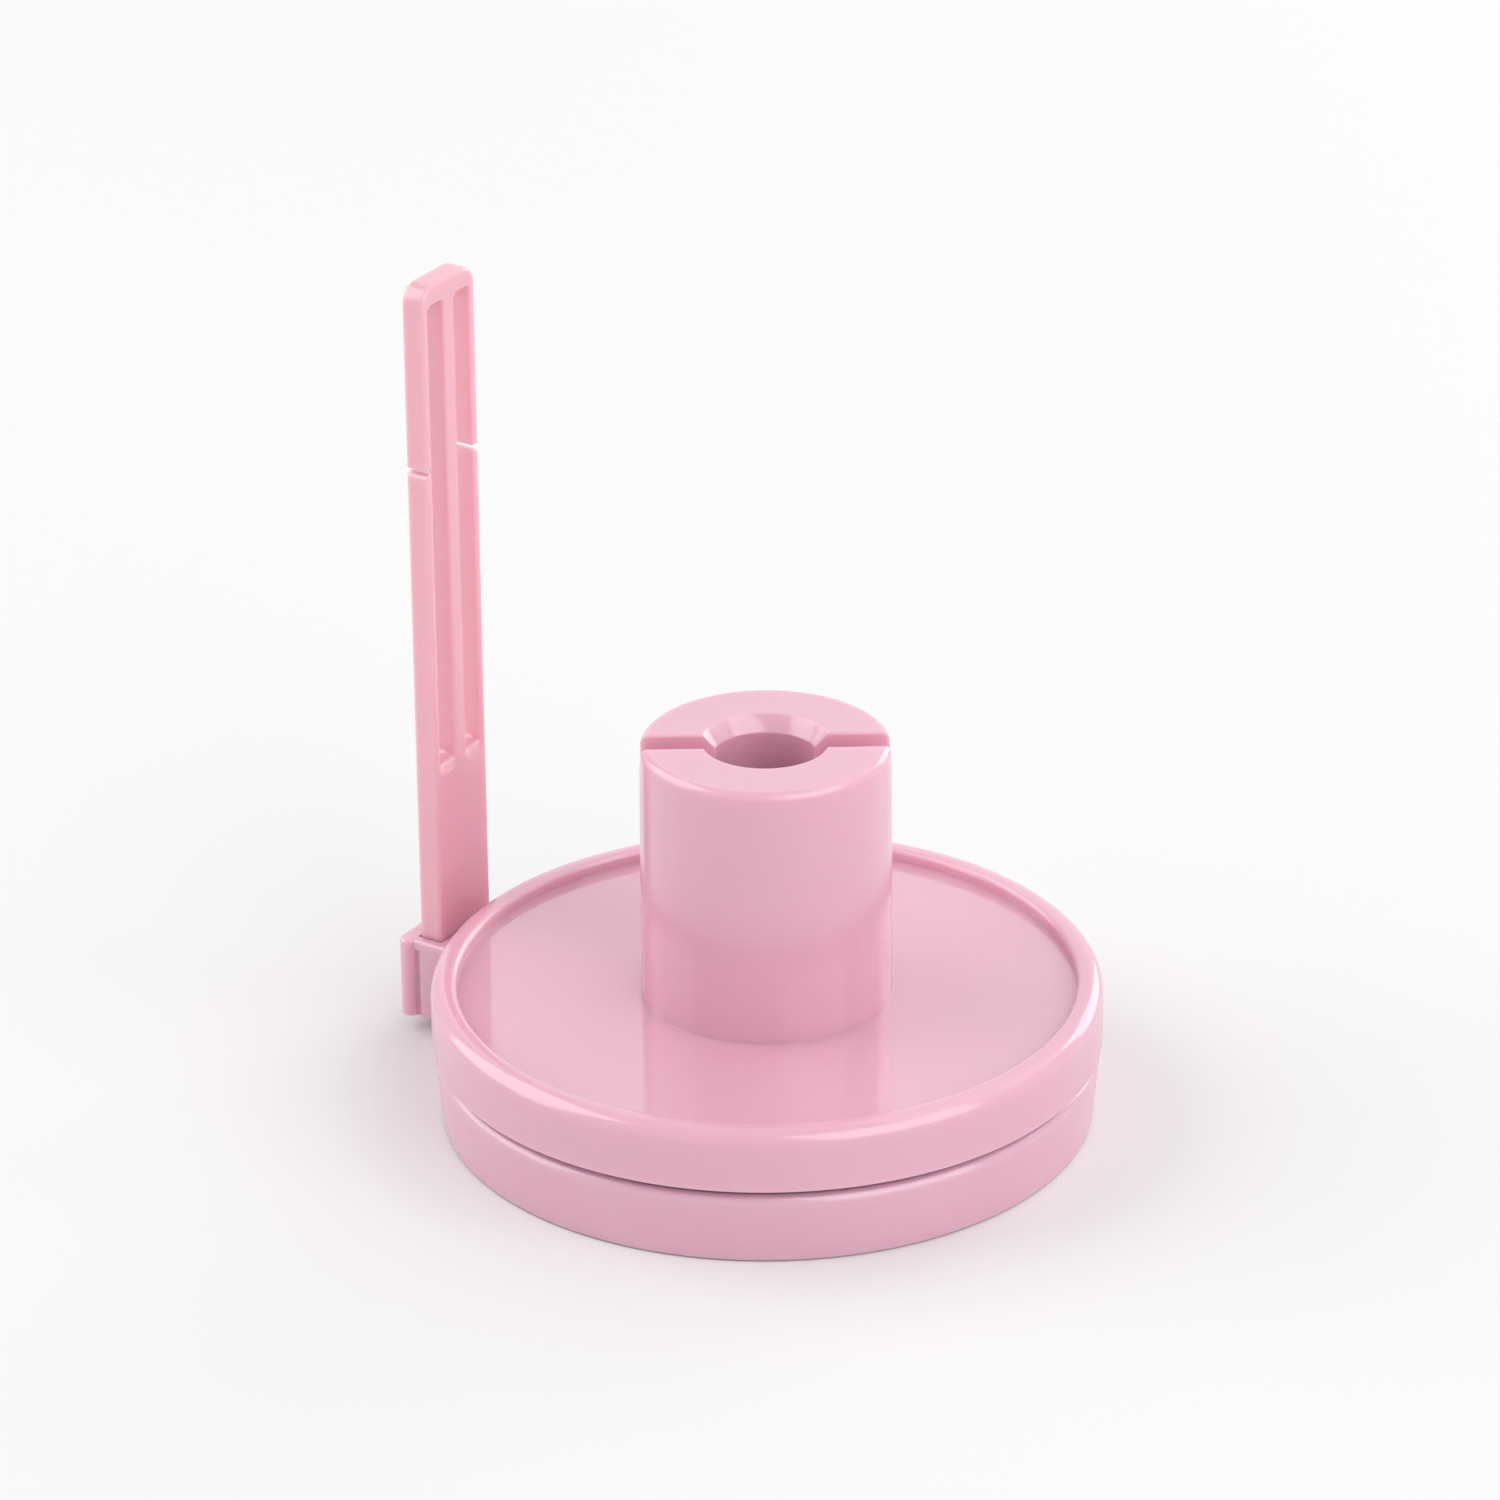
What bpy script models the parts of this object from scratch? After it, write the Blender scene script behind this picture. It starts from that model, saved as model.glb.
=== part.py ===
"""Thread dispenser: a spool turntable that spins on a ball bearing in a base, with a plug-in thread arm.

Metres, +Z up. The origin is the centre of the underside of the foot pad, on the turntable's axis.
The thread arm stands on the -X side, with its grooved face towards the spool post.
"""

import math

import bmesh
import bpy
from mathutils import Matrix

MM = 0.001

# Clearances between pieces
FIT_GAP = 0.2 * MM  # between pieces that touch on the real object
ARM_FIT = 0.25 * MM  # round the arm's foot in its socket
RUNNING_GAP = 0.55 * MM  # between the base and the turntable above it
OVERLAP = 0.4 * MM  # how far a joined shape reaches into the one that carries it

# Foot pad
PAD_THICKNESS = 0.9 * MM
PAD_PROUD = 0.3 * MM  # how far it stands below the base's rim
PAD_MARGIN = 0.65 * MM  # from its edge to the inside of the base

# Cover that closes the base from below, and its countersunk screws
COVER_THICKNESS = 1.1 * MM
COVER_HOLE_RADIUS = 7.0 * MM  # room for the hub screw
COVER_SCREWS = 3
COVER_SCREW_INSET = 8.95 * MM  # from the cover's edge
COVER_SCREW_RADIUS = 1.1 * MM
COVER_SCREW_LENGTH = 5.5 * MM
COVER_SCREW_HEAD_RADIUS = 2.1 * MM
COVER_SCREW_TURN = math.pi  # the first screw is on the arm's side
BOSS_RADIUS = 2.9 * MM

# Ball bearing, the common size 608
BEARING_BORE_RADIUS = 4.0 * MM
BEARING_RADIUS = 11.0 * MM
BEARING_WIDTH = 7.0 * MM
BALL_RADIUS = 1.985 * MM
BALLS = 7
LAND_SHARE = 0.8  # how much of a ball's radius the rings' lands leave uncovered
SHIELD_THICKNESS = 0.3 * MM
CAGE_WALL = 1.2 * MM
CAGE_RISE = 0.9 * MM  # above the balls' centres
BALL_PLAY = 0.16 * MM
RING_EDGE = 0.35 * MM

# Screw and washer that hold the turntable's axle in the bearing
SCREW_RADIUS = 1.5 * MM
SCREW_LENGTH = 7.0 * MM
SCREW_HEAD_RADIUS = 2.8 * MM
SCREW_HEAD_HEIGHT = 1.4 * MM
SCREW_HEAD_ROOM = 0.5 * MM
DRIVE_WIDTH = 0.8 * MM
DRIVE_DEPTH = 0.8 * MM
DRIVE_SHARE = 0.6  # how much of a screw head's radius the cross takes
WASHER_RADIUS = 5.4 * MM
WASHER_THICKNESS = 0.8 * MM

# Turntable, the upper disc with its spool post
DISC_RADIUS = 35.0 * MM
RIM_WIDTH = 2.7 * MM
RIM_OUTER_ROUND = 1.2 * MM
RIM_INNER_ROUND = 0.45 * MM
RECESS_DEPTH = 1.4 * MM
LOWER_EDGE_ROUND = 0.35 * MM
PLATE_WALL = 2.1 * MM
HUB_STEP = 0.4 * MM
HUB_RADIUS = 5.5 * MM
AXLE_SHORT = 0.2 * MM  # the axle ends this much inside the bearing, so the washer clamps the inner ring
POST_HEIGHT = 28.25 * MM  # above the recessed face
POST_RADIUS = 12.95 * MM  # at the top
POST_DRAFT = 0.15 * MM  # how much wider the foot is
POST_WALL = 2.0 * MM
POST_EDGE_ROUND = 0.9 * MM
POST_FOOT_ROUND = 0.4 * MM
BORE_RADIUS = 5.35 * MM
BORE_WALL = 1.8 * MM
BORE_LEAD_IN = 1.15 * MM
BORE_LEAD_DEPTH = 1.4 * MM
BORE_FLOOR = 2.4 * MM
SLOT_WIDTH = 3.2 * MM
SLOT_DEPTH = 3.0 * MM
SLOT_FLOOR = 2.2 * MM
SLOT_TURN = math.radians(33.5)
TURNTABLE_RIBS = 8
POST_RIBS = 6
RIB_WIDTH = 1.2 * MM
PLATE_RIB_DEPTH = 1.8 * MM

# Base, the lower disc
BASE_INSET = 0.3 * MM  # how much smaller than the turntable it is
BASE_HEIGHT = 7.45 * MM
BASE_DRAFT = 0.55 * MM  # how much narrower it is at the bottom
BASE_WALL = 2.0 * MM
BASE_TOP_ROUND = 0.5 * MM
BASE_FOOT_ROUND = 0.6 * MM
CUP_WALL = 2.0 * MM
CUP_DROP = 0.3 * MM  # the bearing stands this much above its cup
LEDGE_WIDTH = 2.0 * MM
LEDGE_THICKNESS = 1.4 * MM
BASE_RIBS = 6  # twice as many as cover screws, so that each boss stands on a rib

# Thread arm and the socket that it stands in
ARM_WIDTH = 9.45 * MM
ARM_THICKNESS = 2.75 * MM
ARM_REACH = 75.1 * MM  # above the socket
ARM_GAP = 3.1 * MM  # from the turntable's edge to the arm
ARM_CORNER = 2.2 * MM
ARM_EDGE_ROUND = 0.5 * MM
THREAD_SLOT_START = 21.1 * MM  # above the socket
THREAD_SLOT_END = 2.3 * MM  # below the arm's top
THREAD_SLOT_CORNER = 0.7 * MM
THREAD_SLOT_EDGE = 0.35 * MM  # how far its edges are eased
THREAD_SLOT_RAMP = 1.3 * MM  # how far its lower end runs out towards the post
RAIL_WIDTH = 1.0 * MM
CENTRE_RIB_WIDTH = 1.95 * MM
SLIT_HEIGHT = 0.7 * MM
SLIT_RISE = 54.7 * MM  # above the socket
SLIT_LIP = 0.6 * MM
SOCKET_WALL = 0.95 * MM  # at the arm's sides
SOCKET_BACK = 1.7 * MM  # behind the arm
SOCKET_FLOOR = 1.8 * MM
SOCKET_RISE = 2.25 * MM  # above the base
SOCKET_LIFT = 1.3 * MM  # its underside above the base's rim
SOCKET_BEAD_RADIUS = 1.1 * MM  # the upright bead at each outer corner
SOCKET_BEAD_INSET = 0.7 * MM  # from the socket's side to the bead's middle
SOCKET_EDGE_ROUND = 0.5 * MM
SOCKET_CLEARANCE = 0.6 * MM  # to the turntable's edge

# Facets
DISC_STEPS = 64
BEARING_STEPS = 32
SMALL_STEPS = 16
BALL_STEPS = 12
CAGE_STEPS_A_BALL = 6
BEVEL_FROM = 60.0  # degrees between two faces
SHARP_FROM = 32.0

# Heights, from the foot pad up through the bearing to the turntable
BASE_BOTTOM = PAD_PROUD
BASE_TOP = BASE_BOTTOM + BASE_HEIGHT
COVER_BOTTOM = PAD_THICKNESS + FIT_GAP
COVER_TOP = COVER_BOTTOM + COVER_THICKNESS
RIB_BOTTOM = COVER_TOP + FIT_GAP
HEAD_BOTTOM = PAD_THICKNESS + SCREW_HEAD_ROOM
HEAD_TOP = HEAD_BOTTOM + SCREW_HEAD_HEIGHT
WASHER_BOTTOM = HEAD_TOP + FIT_GAP
WASHER_TOP = WASHER_BOTTOM + WASHER_THICKNESS
BEARING_BOTTOM = WASHER_TOP + FIT_GAP
BEARING_MIDDLE = BEARING_BOTTOM + BEARING_WIDTH / 2
BEARING_TOP = BEARING_BOTTOM + BEARING_WIDTH
HUB_FACE = BEARING_TOP + FIT_GAP
PLATE_UNDERSIDE = HUB_FACE + HUB_STEP
RECESS_FACE = PLATE_UNDERSIDE + PLATE_WALL
RIM_TOP = RECESS_FACE + RECESS_DEPTH
POST_TOP = RECESS_FACE + POST_HEIGHT
DISC_BOTTOM = BASE_TOP + RUNNING_GAP
AXLE_BOTTOM = BEARING_BOTTOM + AXLE_SHORT
PILOT_TOP = HEAD_TOP + SCREW_LENGTH + FIT_GAP
SOCKET_TOP = BASE_TOP + SOCKET_RISE
SOCKET_BOTTOM = BASE_BOTTOM + SOCKET_LIFT

# Radii and places that follow from the pieces they fit
BASE_RADIUS = DISC_RADIUS - BASE_INSET
BASE_INNER = BASE_RADIUS - BASE_DRAFT - BASE_WALL
COVER_RADIUS = BASE_INNER - FIT_GAP
COVER_SCREW_RING = COVER_RADIUS - COVER_SCREW_INSET
PAD_RADIUS = BASE_INNER - PAD_MARGIN
COVER_PILOT_RADIUS = COVER_SCREW_RADIUS + FIT_GAP
RECESS_RADIUS = DISC_RADIUS - RIM_WIDTH
PITCH_RADIUS = (BEARING_BORE_RADIUS + BEARING_RADIUS) / 2
OUTER_LAND = PITCH_RADIUS + LAND_SHARE * BALL_RADIUS
INNER_LAND = PITCH_RADIUS - LAND_SHARE * BALL_RADIUS
CUP_INNER = BEARING_RADIUS + FIT_GAP
CUP_OUTER = CUP_INNER + CUP_WALL
TUBE_RADIUS = BORE_RADIUS + BORE_WALL
AXLE_RADIUS = BEARING_BORE_RADIUS - FIT_GAP
PILOT_RADIUS = SCREW_RADIUS + FIT_GAP
ARM_INNER = DISC_RADIUS + ARM_GAP
ARM_OUTER = ARM_INNER + ARM_THICKNESS
ARM_FOOT = SOCKET_BOTTOM + SOCKET_FLOOR + ARM_FIT
ARM_TOP = SOCKET_TOP + ARM_REACH


def new_collection(name):
    collection = bpy.data.collections.new(name)
    bpy.context.scene.collection.children.link(collection)
    return collection


def plastic(name, colour, roughness, metallic=0.0):
    material = bpy.data.materials.new(name)
    material.use_nodes = True
    shader = material.node_tree.nodes["Principled BSDF"]
    shader.inputs["Base Color"].default_value = (*colour, 1.0)
    shader.inputs["Roughness"].default_value = roughness
    shader.inputs["Metallic"].default_value = metallic
    material.diffuse_color = (*colour, 1.0)
    return material


def add_object(name, mesh, collection, material=None):
    obj = bpy.data.objects.new(name, mesh)
    collection.objects.link(obj)
    if material:
        mesh.materials.append(material)
    return obj


def arc(centre_r, centre_z, radius, start, end, steps=4):
    """Points of an arc in a turned profile, with its angles in degrees from the +r direction."""
    angles = [math.radians(start + (end - start) * i / steps) for i in range(steps + 1)]
    return [(centre_r + radius * math.cos(a), centre_z + radius * math.sin(a)) for a in angles]


def turned(name, profile, steps, collection, material=None, closed=True):
    """A profile of (radius, height) points, run down its outer side, and turned round Z with a Screw."""
    mesh = bpy.data.meshes.new(name)
    count = len(profile)
    edges = [(i, (i + 1) % count) for i in range(count if closed else count - 1)]
    mesh.from_pydata([(r, 0.0, z) for r, z in profile], edges, [])
    obj = add_object(name, mesh, collection, material)
    screw = obj.modifiers.new("Turn", "SCREW")
    screw.axis = "Z"
    screw.angle = math.tau
    screw.steps = steps
    screw.render_steps = steps
    screw.use_merge_vertices = True
    screw.merge_threshold = 1e-6
    return obj


def box_mesh(mesh, low, high, turn=0.0):
    """Adds a box from its low to its high corner, then turned about Z, to a mesh."""
    bm = bmesh.new()
    bm.from_mesh(mesh)
    size = [b - a for a, b in zip(low, high)]
    middle = [(a + b) / 2 for a, b in zip(low, high)]
    matrix = Matrix.Rotation(turn, 4, "Z") @ Matrix.Translation(middle) @ Matrix.Diagonal((*size, 1.0))
    bmesh.ops.create_cube(bm, size=1.0, matrix=matrix)
    bm.to_mesh(mesh)
    bm.free()


def cylinder(name, radius, low, high, steps, collection, material=None):
    bm = bmesh.new()
    bmesh.ops.create_cone(
        bm,
        cap_ends=True,
        segments=steps,
        radius1=radius,
        radius2=radius,
        depth=high - low,
        matrix=Matrix.Translation((0.0, 0.0, (low + high) / 2)),
    )
    mesh = bpy.data.meshes.new(name)
    bm.to_mesh(mesh)
    bm.free()
    return add_object(name, mesh, collection, material)


def outline_arc(x, y, radius, start, end, steps=5):
    angles = [math.radians(start + (end - start) * i / steps) for i in range(steps + 1)]
    return [(x + radius * math.cos(a), y + radius * math.sin(a)) for a in angles]


def flat_outline(name, points, thickness, matrix, collection, material=None):
    """A closed outline as a filled 2D curve, made a mesh: `thickness` is centred on the outline's plane."""
    curve = bpy.data.curves.new(name, "CURVE")
    curve.dimensions = "2D"
    curve.fill_mode = "BOTH"
    curve.extrude = thickness / 2
    spline = curve.splines.new("POLY")
    spline.points.add(len(points) - 1)
    for point, (x, y) in zip(spline.points, points):
        point.co = (x, y, 0.0, 1.0)
    spline.use_cyclic_u = True
    guide = bpy.data.objects.new(name + "_outline", curve)
    bpy.context.scene.collection.objects.link(guide)
    guide.matrix_world = matrix
    bpy.context.view_layer.update()
    graph = bpy.context.evaluated_depsgraph_get()
    mesh = bpy.data.meshes.new_from_object(guide.evaluated_get(graph))
    bpy.data.objects.remove(guide)
    bm = bmesh.new()
    bm.from_mesh(mesh)
    bmesh.ops.remove_doubles(bm, verts=bm.verts, dist=1e-6)
    bmesh.ops.recalc_face_normals(bm, faces=bm.faces)
    bm.to_mesh(mesh)
    bm.free()
    obj = add_object(name, mesh, collection, material)
    obj.matrix_world = matrix
    return obj


def lofted(name, rings, collection):
    """A solid through closed rings of points, which all have the same number of points."""
    bm = bmesh.new()
    loops = [[bm.verts.new(point) for point in ring] for ring in rings]
    for near, far in zip(loops, loops[1:]):
        for i in range(len(near)):
            bm.faces.new((near[i - 1], near[i], far[i], far[i - 1]))
    bm.faces.new(loops[0])
    bm.faces.new(reversed(loops[-1]))
    bmesh.ops.recalc_face_normals(bm, faces=bm.faces)
    mesh = bpy.data.meshes.new(name)
    bm.to_mesh(mesh)
    bm.free()
    return add_object(name, mesh, collection)


def combine(obj, other, operation):
    boolean = obj.modifiers.new(other.name, "BOOLEAN")
    boolean.operation = operation
    boolean.solver = "EXACT"
    boolean.object = other


def round_edges(obj, width, segments):
    bevel = obj.modifiers.new("Rounded edges", "BEVEL")
    bevel.width = width
    bevel.segments = segments
    bevel.limit_method = "ANGLE"
    bevel.angle_limit = math.radians(BEVEL_FROM)


def shade(obj):
    """Turns the modifiers into plain mesh, shaded smooth between its real edges."""
    bpy.context.view_layer.update()
    graph = bpy.context.evaluated_depsgraph_get()
    mesh = bpy.data.meshes.new_from_object(obj.evaluated_get(graph))
    obj.modifiers.clear()
    obj.data = mesh
    mesh.name = obj.name
    mesh.shade_smooth()
    mesh.set_sharp_from_angle(angle=math.radians(SHARP_FROM))


def place(obj, pivot):
    """Parents the object to a joint's empty and keeps it where it is."""
    obj.parent = pivot
    obj.matrix_parent_inverse = pivot.matrix_world.inverted()


def radial_ribs(name, count, inner, outer, low, high, collection):
    mesh = bpy.data.meshes.new(name)
    for i in range(count):
        corner = (inner, -RIB_WIDTH / 2, low)
        box_mesh(mesh, corner, (outer, RIB_WIDTH / 2, high), math.tau * i / count)
    return add_object(name, mesh, collection)


def cover_screw_place(index):
    angle = COVER_SCREW_TURN + math.tau * index / COVER_SCREWS
    return (COVER_SCREW_RING * math.cos(angle), COVER_SCREW_RING * math.sin(angle), 0.0)


def make_base(parts, cutters, material):
    """The lower disc: an open-bottomed shell with a bearing cup, ribs and the arm's socket."""
    roof = BASE_TOP - BASE_WALL
    ledge_top = BEARING_BOTTOM - FIT_GAP
    ledge_bottom = ledge_top - LEDGE_THICKNESS
    cup_top = BEARING_TOP - CUP_DROP
    profile = [(CUP_INNER, cup_top), (CUP_OUTER, cup_top), (CUP_OUTER, BASE_TOP)]
    top_round = BASE_TOP_ROUND
    profile += arc(BASE_RADIUS - top_round, BASE_TOP - top_round, top_round, 90, 0, 2)
    foot_round = BASE_FOOT_ROUND
    foot_radius = BASE_RADIUS - BASE_DRAFT
    profile += arc(foot_radius - foot_round, BASE_BOTTOM + foot_round, foot_round, 0, -90, 3)
    profile += [(BASE_INNER, BASE_BOTTOM), (BASE_INNER, roof), (CUP_OUTER, roof), (CUP_OUTER, ledge_bottom)]
    ledge_inner = CUP_INNER - LEDGE_WIDTH
    profile += [(ledge_inner, ledge_bottom), (ledge_inner, ledge_top), (CUP_INNER, ledge_top)]
    base = turned("base_shell", profile, DISC_STEPS, parts, material)

    ribs = radial_ribs(
        "base_ribs",
        BASE_RIBS,
        CUP_OUTER - OVERLAP,
        BASE_INNER + OVERLAP,
        RIB_BOTTOM,
        roof + OVERLAP,
        cutters,
    )
    combine(base, ribs, "UNION")
    for i in range(COVER_SCREWS):
        boss = cylinder(f"boss_{i + 1}", BOSS_RADIUS, RIB_BOTTOM, roof + OVERLAP, SMALL_STEPS, cutters)
        pilot_top = COVER_BOTTOM + COVER_SCREW_LENGTH + FIT_GAP
        pilot = cylinder(f"pilot_{i + 1}", COVER_PILOT_RADIUS, COVER_BOTTOM, pilot_top, SMALL_STEPS, cutters)
        boss.location = pilot.location = cover_screw_place(i)
        combine(base, boss, "UNION")
        combine(base, pilot, "DIFFERENCE")

    half_width = ARM_WIDTH / 2 + ARM_FIT + SOCKET_WALL
    outer = ARM_OUTER + ARM_FIT + SOCKET_BACK
    bead = SOCKET_BEAD_RADIUS
    bead_x, bead_y = -outer + bead, half_width - SOCKET_BEAD_INSET
    turn = math.degrees(math.asin(SOCKET_BEAD_INSET / bead))
    inside = -BASE_INNER - OVERLAP
    plan = [(inside, -half_width), (inside, half_width)]
    plan += outline_arc(bead_x, bead_y, bead, turn, 180, 6)
    plan += outline_arc(bead_x, -bead_y, bead, 180, 360 - turn, 6)
    middle = Matrix.Translation((0.0, 0.0, (SOCKET_BOTTOM + SOCKET_TOP) / 2))
    block = flat_outline("socket_block", plan, SOCKET_TOP - SOCKET_BOTTOM, middle, cutters)
    round_edges(block, SOCKET_EDGE_ROUND, 2)
    sweep_radius = DISC_RADIUS + SOCKET_CLEARANCE
    sweep = cylinder("turntable_sweep", sweep_radius, BASE_TOP, SOCKET_TOP + BASE_WALL, DISC_STEPS, cutters)
    combine(block, sweep, "DIFFERENCE")
    combine(base, block, "UNION")

    pocket_mesh = bpy.data.meshes.new("socket_pocket")
    pocket_half = ARM_WIDTH / 2 + ARM_FIT
    pocket_low = (-ARM_OUTER - ARM_FIT, -pocket_half, SOCKET_BOTTOM + SOCKET_FLOOR)
    box_mesh(pocket_mesh, pocket_low, (-ARM_INNER + ARM_FIT, pocket_half, SOCKET_TOP + BASE_WALL))
    combine(base, add_object("socket_pocket", pocket_mesh, cutters), "DIFFERENCE")
    shade(base)
    return base


def make_turntable(parts, cutters, material):
    """The upper disc: a thin-walled moulding with the post, its bore, and the axle in one piece."""
    mouth = BORE_RADIUS + BORE_LEAD_IN
    profile = [(0.0, HUB_FACE + BORE_FLOOR), (BORE_RADIUS, HUB_FACE + BORE_FLOOR)]
    profile += [(BORE_RADIUS, POST_TOP - BORE_LEAD_DEPTH), (mouth, POST_TOP)]
    profile += arc(POST_RADIUS - POST_EDGE_ROUND, POST_TOP - POST_EDGE_ROUND, POST_EDGE_ROUND, 90, 0, 4)
    foot = POST_RADIUS + POST_DRAFT
    profile += arc(foot + POST_FOOT_ROUND, RECESS_FACE + POST_FOOT_ROUND, POST_FOOT_ROUND, 180, 270, 2)
    profile += [(RECESS_RADIUS, RECESS_FACE)]
    inner_round = RIM_INNER_ROUND
    profile += arc(RECESS_RADIUS + inner_round, RIM_TOP - inner_round, inner_round, 180, 90, 2)
    outer_round = RIM_OUTER_ROUND
    profile += arc(DISC_RADIUS - outer_round, RIM_TOP - outer_round, outer_round, 90, 0, 4)
    lower_round = LOWER_EDGE_ROUND
    profile += arc(DISC_RADIUS - lower_round, DISC_BOTTOM + lower_round, lower_round, 0, -90, 2)
    cavity_top = POST_TOP - SLOT_DEPTH - SLOT_FLOOR
    profile += [(RECESS_RADIUS, DISC_BOTTOM), (RECESS_RADIUS, PLATE_UNDERSIDE)]
    profile += [(foot - POST_WALL, PLATE_UNDERSIDE), (POST_RADIUS - POST_WALL, cavity_top)]
    profile += [(TUBE_RADIUS, cavity_top), (TUBE_RADIUS, PLATE_UNDERSIDE), (HUB_RADIUS, PLATE_UNDERSIDE)]
    profile += [(HUB_RADIUS, HUB_FACE), (AXLE_RADIUS, HUB_FACE), (AXLE_RADIUS, AXLE_BOTTOM)]
    profile += [(PILOT_RADIUS, AXLE_BOTTOM), (PILOT_RADIUS, PILOT_TOP), (0.0, PILOT_TOP)]
    turntable = turned("turntable", profile, DISC_STEPS, parts, material, closed=False)

    post_ribs = radial_ribs(
        "post_ribs",
        POST_RIBS,
        TUBE_RADIUS - OVERLAP,
        POST_RADIUS - POST_WALL + OVERLAP,
        PLATE_UNDERSIDE,
        cavity_top + OVERLAP,
        cutters,
    )
    combine(turntable, post_ribs, "UNION")
    plate_ribs = radial_ribs(
        "plate_ribs",
        TURNTABLE_RIBS,
        CUP_OUTER + RIB_WIDTH,
        RECESS_RADIUS + OVERLAP,
        PLATE_UNDERSIDE - PLATE_RIB_DEPTH,
        PLATE_UNDERSIDE + OVERLAP,
        cutters,
    )
    combine(turntable, plate_ribs, "UNION")

    slot_mesh = bpy.data.meshes.new("post_slot")
    reach = POST_RADIUS + POST_WALL
    slot_low = (-reach, -SLOT_WIDTH / 2, POST_TOP - SLOT_DEPTH)
    box_mesh(slot_mesh, slot_low, (reach, SLOT_WIDTH / 2, POST_TOP + SLOT_DEPTH), SLOT_TURN)
    combine(turntable, add_object("post_slot", slot_mesh, cutters), "DIFFERENCE")
    shade(turntable)
    return turntable


def thread_slot_ring(side, x, ease, ramp):
    """The outline of one of the arm's long slots at a depth, eased all round and run out at its lower end."""
    near = CENTRE_RIB_WIDTH / 2 - ease
    far = ARM_WIDTH / 2 - RAIL_WIDTH + ease
    low = SOCKET_TOP + THREAD_SLOT_START - max(ease, ramp)
    high = ARM_TOP - THREAD_SLOT_END + ease
    corner = THREAD_SLOT_CORNER + ease
    points = outline_arc(near + corner, low + corner, corner, 180, 270, 3)
    points += outline_arc(far - corner, low + corner, corner, 270, 360, 3)
    points += outline_arc(far - corner, high - corner, corner, 0, 90, 3)
    points += outline_arc(near + corner, high - corner, corner, 90, 180, 3)
    return [(x, side * y, z) for y, z in points]


def make_arm(parts, cutters, material):
    """The thread arm: a flat bar with two long slots, and a slit into each from its outer side."""
    upright = Matrix(((0, 0, 1, -ARM_INNER - ARM_THICKNESS / 2), (1, 0, 0, 0), (0, 1, 0, 0), (0, 0, 0, 1)))
    half = ARM_WIDTH / 2
    outline = [(-half, ARM_FOOT), (half, ARM_FOOT)]
    outline += outline_arc(half - ARM_CORNER, ARM_TOP - ARM_CORNER, ARM_CORNER, 0, 90)
    outline += outline_arc(-half + ARM_CORNER, ARM_TOP - ARM_CORNER, ARM_CORNER, 90, 180)
    arm = flat_outline("guide_arm", outline, ARM_THICKNESS, upright, parts, material)
    round_edges(arm, ARM_EDGE_ROUND, 2)

    front, back = -ARM_INNER, -ARM_OUTER
    ease, ramp = THREAD_SLOT_EDGE, THREAD_SLOT_RAMP
    depths = [
        (front + OVERLAP, ease, ramp),
        (front, ease, ramp),
        (front - ease, 0.0, ramp / 2),
        (front - ramp, 0.0, 0.0),
        (back + ease, 0.0, 0.0),
        (back, ease, 0.0),
        (back - OVERLAP, ease, 0.0),
    ]
    slit_z = SOCKET_TOP + SLIT_RISE
    lip_start = half - SLIT_LIP
    lip_reach = SLIT_HEIGHT / 2 + SLIT_LIP
    slit_start = half - RAIL_WIDTH - OVERLAP
    slit = [(slit_start, slit_z - SLIT_HEIGHT / 2)]
    slit += outline_arc(lip_start, slit_z - lip_reach, SLIT_LIP, 90, 0, 4)
    slit += [(half + OVERLAP, slit_z - lip_reach), (half + OVERLAP, slit_z + lip_reach)]
    slit += outline_arc(lip_start, slit_z + lip_reach, SLIT_LIP, 0, -90, 4)
    slit += [(slit_start, slit_z + SLIT_HEIGHT / 2)]
    for side, word in ((1, "left"), (-1, "right")):
        rings = [thread_slot_ring(side, *depth) for depth in depths]
        combine(arm, lofted(f"thread_slot_{word}", rings, cutters), "DIFFERENCE")
        mirrored = [(side * y, z) for y, z in slit][::side]
        cut = flat_outline(f"slit_{word}", mirrored, 2 * ARM_THICKNESS, upright, cutters)
        combine(arm, cut, "DIFFERENCE")
    shade(arm)
    return arm


def ring_groove(side, steps):
    """The race in one ring of the bearing: side 1 for the outer ring, -1 for the inner ring."""
    radius = BALL_RADIUS + FIT_GAP
    reach = math.degrees(math.acos(LAND_SHARE * BALL_RADIUS / radius))
    if side > 0:
        return arc(PITCH_RADIUS, BEARING_MIDDLE, radius, -reach, reach, steps)
    return arc(PITCH_RADIUS, BEARING_MIDDLE, radius, 180 - reach, 180 + reach, steps)


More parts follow.
